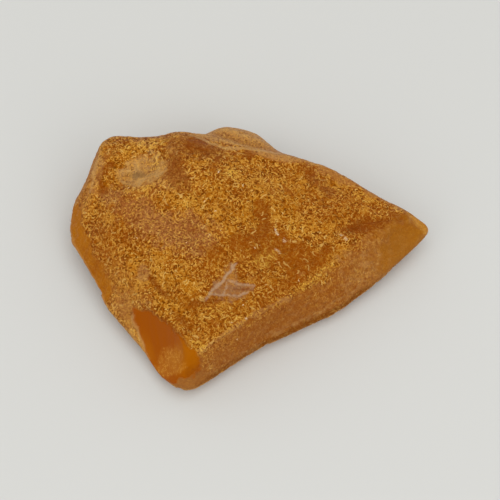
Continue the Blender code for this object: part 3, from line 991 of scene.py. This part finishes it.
def cut_relief(points, outward, ripple_run, drawn, sizes):
    """Cuts the rind's fine relief into the skin, always inwards.

    The depth is the sum of small rounded hollows, worm-like wrinkles along the zero lines of a curled
    noise, scattered pits where a noise is highest, straight creases that the same noise bends, and
    rings in the fresh break. It fades out where the lump rests.
    """
    bend = np.stack([cloud_noise(points, 3.4, seed) for seed in (11, 12)], axis=1)
    bent = points + np.column_stack([bend * 0.9, np.zeros(len(points))])
    looks_up = np.clip(outward[:, 2], 0, 1)
    rind = 1 - np.maximum(drawn["fresh"], 0.8 * drawn["amber_tip"])
    lumps = 0.5 + 0.5 * cloud_noise(points, 2.9, 21)
    wrinkle = 1 - smooth_step(np.abs(warped_noise(points, 1.7, 31)), 0.0, 0.35)
    pits = smooth_step(cloud_noise(points, 1.9, 41), 0.42, 0.80)
    crease = sum(c[-1] * crease_mask(bent, c[:-1]) for c in CREASES) * looks_up
    slit = crease_mask(bent, SCAR_SLIT[:-1]) * looks_up
    rings = 0.5 + 0.5 * np.sin(2 * math.pi * (ripple_run + 0.9 * bend[:, 0]) / 2.3)
    depth = rind * (1 - 0.6 * drawn["scar"]) * (
        sizes.lumps / MM * lumps + sizes.wrinkles / MM * wrinkle + sizes.pits / MM * pits
    )
    depth += crease * rind + SCAR_DEPTH * drawn["scar"] + SCAR_SLIT[-1] * slit
    depth += drawn["fresh"] * sizes.ripples / MM * rings
    depth *= np.clip(points[:, 2] / WAVE_FADE, 0, 1)
    return points - outward * depth[:, None]


def skin_zones(points, outward, bend, frays, drawn):
    """Masks of the skin's colours at each point, each from 0 to 1."""
    looks_up = smooth_step(outward[:, 2], 0.0, 0.35)
    zones = dict(drawn)
    for name, ovals in PATCHES.items():
        mask = highest(oval[-1] * np.sqrt(oval_mask(points, oval[:-1])) for oval in ovals) * looks_up
        zones[name] = np.maximum(zones.get(name, 0), mask)
    for name, lines in LINES.items():
        zones[name] = highest(line_mask(points, frays, line) for line in lines) * looks_up
    steep = smooth_step(-outward[:, 2], -0.62, -0.38)
    zones["cloudy"] = np.maximum(zones["cloudy"], CLOUDY_WALL * steep * (1 - zones["clear"]))
    # Darker towards the table on the side face: painted shade of the undercut
    zones["undercut_shade"] = zones["side"] * (1 - smooth_step(points[:, 2], *UNDERCUT_SHADE_HEIGHTS))
    # Sharp outward bends turn paler, partly wear and partly painted highlight; inward bends turn darker as painted
    # shade
    zones["ridge"] = smooth_step(bend, *RIDGE_BENDS)
    zones["groove_shade"] = smooth_step(-bend, *GROOVE_SHADE_BENDS)
    return zones


def shaped_skin(sizes):
    """Points, faces and colour masks of the finished skin, in mm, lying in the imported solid's box."""
    points, faces = folded_grid(sizes.cells)
    outward = outward_directions(points, faces)
    points = swell(points, np.clip(outward[:, 2] / SWELL_FULL, 0, 1))
    points = wave(points, outward)
    points, ripple_run = break_away(points)
    outward = outward_directions(points, faces)
    looks_up = smooth_step(outward[:, 2], -0.10, 0.10)
    frays = fraying(points)
    drawn = {
        name: highest(drawn_mask(points, frays, shape) for shape in shapes) * looks_up
        for name, shapes in DRAWN.items()
    }
    bend = bend_of_skin(points, faces, outward, EVENING_PASSES)
    skin = cut_relief(points, outward, ripple_run, drawn, sizes)
    middle = (points.min(axis=0) + points.max(axis=0)) / 2
    skin = skin - (middle[0], middle[1], 0)
    return np.clip(skin, LUMP_BOX[0], LUMP_BOX[1]), faces, skin_zones(points, outward, bend, frays, drawn)


def skin_mesh(name, points, faces, zones):
    """A smooth mesh in metres, with each colour mask as an attribute of its points."""
    mesh = bpy.data.meshes.new(name)
    mesh.from_pydata(points * MM, [], faces)
    mesh.update()
    mesh.shade_smooth()
    for zone, mask in zones.items():
        layer = mesh.attributes.new(zone, "FLOAT", "POINT")
        layer.data.foreach_set("value", mask.astype(np.float32))
    return mesh


def put(tree, kind, inputs=None, **settings):
    """Adds a node. The inputs map a socket's name or number to a value or to another node's output."""
    node = tree.nodes.new(kind)
    for name, value in settings.items():
        setattr(node, name, value)
    for socket, value in (inputs or {}).items():
        if isinstance(value, bpy.types.NodeSocket):
            tree.links.new(value, node.inputs[socket])
        else:
            node.inputs[socket].default_value = value
    return node


def math_of(tree, operation, a, b=0.0, clamp=False):
    """The result of a sum on two numbers or outputs."""
    return put(tree, "ShaderNodeMath", {0: a, 1: b}, operation=operation, use_clamp=clamp).outputs[0]


def product(tree, first, *others):
    """Several numbers or outputs multiplied."""
    for other in others:
        first = math_of(tree, "MULTIPLY", first, other)
    return first


def most_of(tree, first, *others):
    """The highest of several numbers or outputs."""
    for other in others:
        first = math_of(tree, "MAXIMUM", first, other)
    return first


def without(tree, share, taken, most=1.0):
    """The share, less what another one takes of it."""
    return product(tree, share, math_of(tree, "SUBTRACT", 1.0, product(tree, taken, most)))


def vector_of(tree, operation, inputs):
    """The outputs of a sum on vectors."""
    return put(tree, "ShaderNodeVectorMath", inputs, operation=operation).outputs


def step_of(tree, value, low, high, start=0.0, end=1.0):
    """An S-shaped change from start to end as the value goes from low to high."""
    inputs = {"Value": value, "From Min": low, "From Max": high, "To Min": start, "To Max": end}
    return put(tree, "ShaderNodeMapRange", inputs, interpolation_type="SMOOTHSTEP").outputs[0]


def between(tree, share, low, high):
    """A number that goes from low to high with the share."""
    return put(tree, "ShaderNodeMix", {0: share, 2: low, 3: high}).outputs[0]


def tint(tree, share, under, over):
    """The colour over another one, by a share."""
    return put(tree, "ShaderNodeMix", {0: share, 6: under, 7: over}, data_type="RGBA").outputs[2]


def noise_of(tree, place, scale, detail=2.0, roughness=0.5, distortion=0.0):
    """Smooth noise about 0.5 at a place."""
    inputs = {
        "Vector": place, "Scale": scale, "Detail": detail, "Roughness": roughness, "Distortion": distortion,
    }
    return put(tree, "ShaderNodeTexNoise", inputs).outputs["Fac"]


def new_group(name, inputs, outputs):
    """An empty node group with the named sockets. Each input has a kind and a default."""
    group = bpy.data.node_groups.new(name, "ShaderNodeTree")
    for label, (kind, default) in inputs.items():
        socket = group.interface.new_socket(label, in_out="INPUT", socket_type=kind)
        if default is not None:
            socket.default_value = default
    for label in outputs:
        group.interface.new_socket(label, in_out="OUTPUT", socket_type="NodeSocketFloat")
    return group, group.nodes.new("NodeGroupInput").outputs, group.nodes.new("NodeGroupOutput").inputs


def straws_of(tree, place, scale, cells, thickness, length, share):
    """Short straight straws in all directions, one in each of a share of the cells.

    Each cell has a middle, and its scattered colour is the direction of a thin sheet through that middle.
    A place is on the straw where it lies near the sheet and near the middle.
    """
    scale = product(tree, scale, cells)
    noise = put(tree, "ShaderNodeTexNoise", {"Vector": place, "Scale": scale, "Detail": 0.0}).outputs["Color"]
    push = vector_of(tree, "SUBTRACT", {0: noise, 1: MID_COLOUR})[0]
    push = vector_of(tree, "SCALE", {0: push, "Scale": math_of(tree, "DIVIDE", STRAW_CURL, scale)})[0]
    bent = vector_of(tree, "ADD", {0: place, 1: push})[0]
    cell = put(tree, "ShaderNodeTexVoronoi", {"Vector": bent, "Scale": scale}).outputs
    away = vector_of(tree, "SUBTRACT", {0: bent, 1: cell["Position"]})[0]
    way = vector_of(tree, "SUBTRACT", {0: cell["Color"], 1: MID_COLOUR})[0]
    way = vector_of(tree, "MULTIPLY", {0: way, 1: STRAW_LEAN})[0]
    way = vector_of(tree, "NORMALIZE", {0: way})[0]
    off = vector_of(tree, "DOT_PRODUCT", {0: away, 1: way})["Value"]
    off = product(tree, math_of(tree, "ABSOLUTE", off), scale)
    near = step_of(tree, off, *(thickness * edge for edge in STRAW_SIDE), 1.0, 0.0)
    ended = step_of(tree, cell["Distance"], *(length * edge for edge in STRAW_END), 1.0, 0.0)
    lot = put(tree, "ShaderNodeSeparateColor", {0: cell["Color"]}).outputs["Blue"]
    kept = step_of(tree, lot, *(math_of(tree, "SUBTRACT", edge, share) for edge in LOT_EDGE))
    return product(tree, near, ended, kept)


def crackle_group():
    """Crackle of the rind: small raised flecks, pits beside them, streaks, rare sparks, and the height.

    Two curled noises are added. Where the sum is high there is a fleck; where it is low lie the pits,
    which are darkened later as painted shade. Short straws are flecks too, and the streaks are larger
    straws. A painted glint is a small cell whose scattered number is high.
    """
    group, given, result = new_group(
        "copal_crackle",
        {
            "Vector": ("NodeSocketVector", None),
            "Cells per Metre": ("NodeSocketFloat", 1600.0),
            "Streak Share": ("NodeSocketFloat", 0.4),
        },
        ("Flecks", "Pits", "Streaks", "Glint Highlights", "Height"),
    )
    place, scale = given["Vector"], given["Cells per Metre"]
    curled = noise_of(group, place, scale, *CURLED_NOISE)
    grain = noise_of(group, place, product(group, scale, GRAIN_CELLS), *GRAIN_NOISE)
    height = math_of(group, "ADD", product(group, curled, 1 - GRAIN_SHARE), product(group, grain, GRAIN_SHARE))
    aside = vector_of(group, "ADD", {0: place, 1: ASIDE})[0]
    straws = most_of(
        group, straws_of(group, place, scale, *LARGER_STRAWS), straws_of(group, aside, scale, *SMALLER_STRAWS)
    )
    flecks = most_of(group, step_of(group, height, *BLOB_STEP), straws)
    luck = put(
        group, "ShaderNodeTexVoronoi", {"Vector": place, "Scale": product(group, scale, SPARK_CELLS)}
    ).outputs
    lot = put(group, "ShaderNodeSeparateColor", {0: luck["Color"]}).outputs["Red"]
    uneven = math_of(group, "ADD", luck["Distance"], product(group, grain, SPARK_RAGGEDNESS))
    for label, output in (
        ("Flecks", flecks),
        ("Pits", math_of(group, "SUBTRACT", step_of(group, height, *PIT_STEP), straws, True)),
        ("Streaks", straws_of(group, place, scale, *STREAKS, given["Streak Share"])),
        ("Glint Highlights", product(
            group, step_of(group, lot, *SPARK_LUCK), step_of(group, uneven, *SPARK_EDGE),
            step_of(group, flecks, *SPARK_ON_FLECK),
        )),
        ("Height", math_of(group, "ADD", height, product(group, flecks, FLECK_LIFT))),
    ):
        group.links.new(output, result[label])
    return group


def ragged_zone_group():
    """Turns a soft zone mask into a patch with a ragged edge: the mask and a noise are added and cut.

    Outside the zone only the stray share of the noise is added, so no patch comes up far from it.
    """
    group, given, result = new_group(
        "copal_ragged_zone",
        {
            "Zone": ("NodeSocketFloat", 0.0),
            "Noise": ("NodeSocketFloat", 0.5),
            "Raggedness": ("NodeSocketFloat", 0.5),
            "Softness": ("NodeSocketFloat", 0.25),
            "Stray": ("NodeSocketFloat", 0.0),
        },
        ("Mask",),
    )
    near = step_of(group, given["Zone"], *NEAR_ZONE, given["Stray"])
    lift = math_of(group, "SUBTRACT", given["Noise"], 0.5)
    lift = product(group, lift, given["Raggedness"], near, 2.0)
    low, high = (math_of(group, operation, 0.5, given["Softness"]) for operation in ("SUBTRACT", "ADD"))
    moved = math_of(group, "ADD", given["Zone"], lift)
    group.links.new(step_of(group, moved, low, high), result["Mask"])
    return group


def opaque(colour):
    """A colour setting with full alpha."""
    return (*colour, 1.0)


def rind_noises(tree, place):
    """The noises that the zones and patches share. One of them is drawn out along the side face."""
    inputs = {"Vector": place, "Rotation": (0.0, 0.0, SIDE_GRAIN), "Scale": SIDE_STRETCH}
    along_side = put(tree, "ShaderNodeMapping", inputs).outputs[0]
    return {
        name: noise_of(tree, along_side if name == "drawn_out" else place, 1 / (size * MM), detail, roughness)
        for name, (size, detail, roughness) in NOISES.items()
    }


def zone_masks(tree, noise):
    """The ragged patch of each zone, from the mask that the mesh carries."""
    ragged = ragged_zone_group()
    mask = {}
    for name, (kind, raggedness, *rest) in EDGES.items():
        softness, stray = rest or USUAL_EDGE
        zone = put(tree, "ShaderNodeAttribute", attribute_name=name).outputs["Fac"]
        inputs = {
            "Zone": zone, "Noise": noise[kind], "Raggedness": raggedness, "Softness": softness, "Stray": stray,
        }
        mask[name] = put(tree, "ShaderNodeGroup", inputs, node_tree=ragged).outputs["Mask"]
    return mask


def calmed(tree, share, mask, calming):
    """The share, less what each zone takes of it."""
    for name, most in calming.items():
        share = without(tree, share, mask[name], most)
    return share


def add_crackle(tree, place, cell, noise, mask):
    """Adds the masks of the crackle, calmed in the smooth zones, and gives the crackle's height."""
    streak_share = math_of(tree, "ADD", product(tree, mask["golden"], GOLDEN_STREAKS), PLAIN_STREAKS)
    inputs = {"Vector": place, "Cells per Metre": 1 / cell, "Streak Share": streak_share}
    crackle = put(tree, "ShaderNodeGroup", inputs, node_tree=crackle_group()).outputs
    flecks, pits, streaks = (crackle[label] for label in ("Flecks", "Pits", "Streaks"))
    smooth = most_of(tree, mask["fresh"], product(tree, mask["amber_tip"], TIP_SMOOTHNESS))
    rind = math_of(tree, "SUBTRACT", 1.0, smooth)
    lively = calmed(tree, rind, mask, CALMING)
    strength = calmed(tree, step_of(tree, noise["broad"], *FLECK_STRENGTH), mask, FLECK_CALMING)
    misty = most_of(tree, mask["haze"], mask["tip_haze"])
    mask.update({
        "rind": rind,
        "lively": lively,
        "any_fleck": flecks,
        "fleck": product(tree, flecks, lively, strength),
        # Painted shade in the crackle's low places, here and in the specked zone
        "pit_shade": calmed(tree, product(tree, pits, lively, PIT_STRENGTH), mask, PIT_CALMING),
        "streak": product(tree, streaks, lively),
        "bright": product(tree, most_of(tree, flecks, streaks), mask["golden"]),
        "specked_pit_shade": product(tree, pits, mask["specked"]),
        "hazed": product(tree, misty, step_of(tree, flecks, *HAZE_ON_FLECK)),
        # Painted glints: rare bright cells of the crackle and the given glint lines
        "glint_highlight": most_of(tree, product(tree, crackle["Glint Highlights"], lively), mask["glint_line"]),
        "rough_rind": without(tree, 1.0, mask["fresh"], BREAK_SMOOTHNESS),
        "worn_and_highlit": product(tree, mask["ridge"], rind),
        "glowing": product(tree, mask["glow"], mask["fresh"]),
    })
    return crackle["Height"]


def add_patches(tree, noise, mask):
    """Adds the masks of the patches that a noise cuts out of a zone or out of the whole skin."""
    for name, (within, kind, *step) in PATCH_STEPS.items():
        cut = step_of(tree, noise[kind], *step)
        mask[name] = product(tree, mask[within], cut) if within else cut
    busy = most_of(tree, *(mask[name] for name in BUSY_ZONES))
    mask["busy_speck"] = product(tree, mask["speck"], busy)


def resin_material(look):
    """Amber resin under a crackled rind: coloured layers, each laid over the ones before by its mask."""
    material = bpy.data.materials.new("copal_rind")
    material.use_nodes = True
    tree = material.node_tree
    place = tree.nodes.new("ShaderNodeTexCoord").outputs["Object"]
    noise = rind_noises(tree, place)
    mask = zone_masks(tree, noise)
    height = add_crackle(tree, place, look.crackle, noise, mask)
    add_patches(tree, noise, mask)

    colour = opaque(look.body)
    for name, most, over in LAYERS:
        colour = tint(tree, product(tree, mask[name], most), colour, opaque(getattr(look, over)))

    rough = step_of(tree, mask["any_fleck"], 0.0, 1.0, ROUGH_GROUND, ROUGH_FLECK)
    rough = math_of(tree, "ADD", rough, product(tree, mask["cloudy"], ROUGHER_CLOUD))
    rough = between(tree, most_of(tree, mask["fresh"], mask["amber_tip"]), rough, ROUGH_BREAK)
    grain = product(tree, noise["grain"], GRAIN_HEIGHT, mask["rind"])
    relief = math_of(tree, "ADD", product(tree, height, mask["lively"]), grain)
    bump = put(tree, "ShaderNodeBump", {"Strength": BUMP_STRENGTH, "Distance": BUMP_DEPTH, "Height": relief})

    shader = tree.nodes["Principled BSDF"]
    tree.links.new(colour, shader.inputs["Base Color"])
    tree.links.new(rough, shader.inputs["Roughness"])
    tree.links.new(bump.outputs["Normal"], shader.inputs["Normal"])
    shader.inputs["Metallic"].default_value = 0.0
    shader.inputs["IOR"].default_value = look.bending
    shader.inputs["Specular IOR Level"].default_value = look.gloss
    shader.inputs["Specular Tint"].default_value = opaque(look.sheen)
    shader.inputs["Transmission Weight"].default_value = look.clearness
    depth = {"Color": opaque(look.absorbed), "Density": look.absorbing}
    absorption = put(tree, "ShaderNodeVolumeAbsorption", depth).outputs["Volume"]
    tree.links.new(absorption, tree.nodes["Material Output"].inputs["Volume"])
    return material


def plain_material(name, colour):
    """A plain dull colour for the stage."""
    material = bpy.data.materials.new(name)
    material.use_nodes = True
    shader = material.node_tree.nodes["Principled BSDF"]
    shader.inputs["Base Color"].default_value = opaque(colour)
    shader.inputs["Roughness"].default_value = 0.9
    return material


def soft_light(name, place, aim, size, power):
    """A square area light that looks at a point."""
    lamp = bpy.data.lights.new(name, "AREA")
    lamp.shape = "SQUARE"
    lamp.size = size
    lamp.energy = power
    light = bpy.data.objects.new(name, lamp)
    light.location = place
    light.rotation_euler = (Vector(place) - Vector(aim)).to_track_quat("Z", "Y").to_euler()
    bpy.context.scene.collection.objects.link(light)


class COPAL_OT_make_lump(bpy.types.Operator):
    """Build the lump's finished skin and its resin, in place of the plain solid."""

    bl_idname = "copal.make_lump"
    bl_label = "Make the lump"

    def execute(self, context):
        points, faces, zones = shaped_skin(context.scene.copal_shape)
        mesh = skin_mesh("copal_skin", points, faces, zones)
        mesh.materials.append(resin_material(context.scene.copal_resin))
        lump = bpy.data.objects.new("copal_skin", mesh)
        context.scene.collection.objects.link(lump)
        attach(lump, "root")
        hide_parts("raw_copal")
        return {"FINISHED"}


class COPAL_OT_make_stage(bpy.types.Operator):
    """Build the plain floor, the soft studio light and the camera."""

    bl_idname = "copal.make_stage"
    bl_label = "Make the stage"

    FLOOR_SIZE = 4.0
    AIM = (0.0002, -0.00105, 0.008)
    FOCAL_LENGTH = 101.4

    def execute(self, context):
        stage = context.scene.copal_stage
        half = self.FLOOR_SIZE / 2
        mesh = bpy.data.meshes.new("floor")
        corners = [(-half, -half, 0), (half, -half, 0), (half, half, 0), (-half, half, 0)]
        mesh.from_pydata(corners, [], [(0, 1, 2, 3)])
        mesh.materials.append(plain_material("pale_floor", stage.floor))
        floor = bpy.data.objects.new("floor", mesh)
        context.scene.collection.objects.link(floor)

        soft_light("ceiling_light", (0.05, 0.0, 0.75), (0, 0, 0), 0.7, stage.ceiling)
        soft_light("window_light", (0.40, -0.50, 0.45), (0, 0, 0), 0.5, stage.window)
        soft_light("fill_light", (-0.50, -0.40, 0.40), (0, 0, 0), 0.6, stage.fill)

        world = bpy.data.worlds.new("studio")
        world.use_nodes = True
        background = world.node_tree.nodes["Background"]
        background.inputs["Color"].default_value = (1.0, 1.0, 1.0, 1.0)
        background.inputs["Strength"].default_value = stage.surround
        context.scene.world = world
        context.scene.view_settings.view_transform = "Standard"

        lens = bpy.data.cameras.new("camera")
        lens.lens = self.FOCAL_LENGTH
        camera = bpy.data.objects.new("camera", lens)
        back = Vector((0, -math.cos(stage.elevation), math.sin(stage.elevation)))
        camera.location = Vector(self.AIM) + back * stage.distance
        camera.rotation_euler = back.to_track_quat("Z", "Y").to_euler()
        context.scene.collection.objects.link(camera)
        context.scene.camera = camera
        return {"FINISHED"}


class COPAL_PT_panel(bpy.types.Panel):
    """Lists the steps and their settings."""

    bl_idname = "COPAL_PT_panel"
    bl_label = "Raw copal"
    bl_space_type = "VIEW_3D"
    bl_region_type = "UI"
    bl_category = "Copal"

    def draw(self, context):
        scene = context.scene
        for operator, settings in (
            ("copal.make_lump", (scene.copal_shape, scene.copal_resin)),
            ("copal.make_stage", (scene.copal_stage,)),
        ):
            self.layout.operator(operator)
            for group in settings:
                for name in group.__annotations__:
                    self.layout.prop(group, name)


CLASSES = (CopalShape, CopalResin, CopalStage, COPAL_OT_make_lump, COPAL_OT_make_stage, COPAL_PT_panel)


def register():
    """Adds the settings, the operators and the panel."""
    for item in CLASSES:
        bpy.utils.register_class(item)
    bpy.types.Scene.copal_shape = PointerProperty(type=CopalShape)
    bpy.types.Scene.copal_resin = PointerProperty(type=CopalResin)
    bpy.types.Scene.copal_stage = PointerProperty(type=CopalStage)


def unregister():
    """Takes them away again, in the opposite order."""
    del bpy.types.Scene.copal_stage
    del bpy.types.Scene.copal_resin
    del bpy.types.Scene.copal_shape
    for item in reversed(CLASSES):
        bpy.utils.unregister_class(item)


def main():
    """Builds the lump and its stage."""
    register()
    bpy.ops.copal.make_lump()
    bpy.ops.copal.make_stage()


if __name__ == "__main__":
    main()
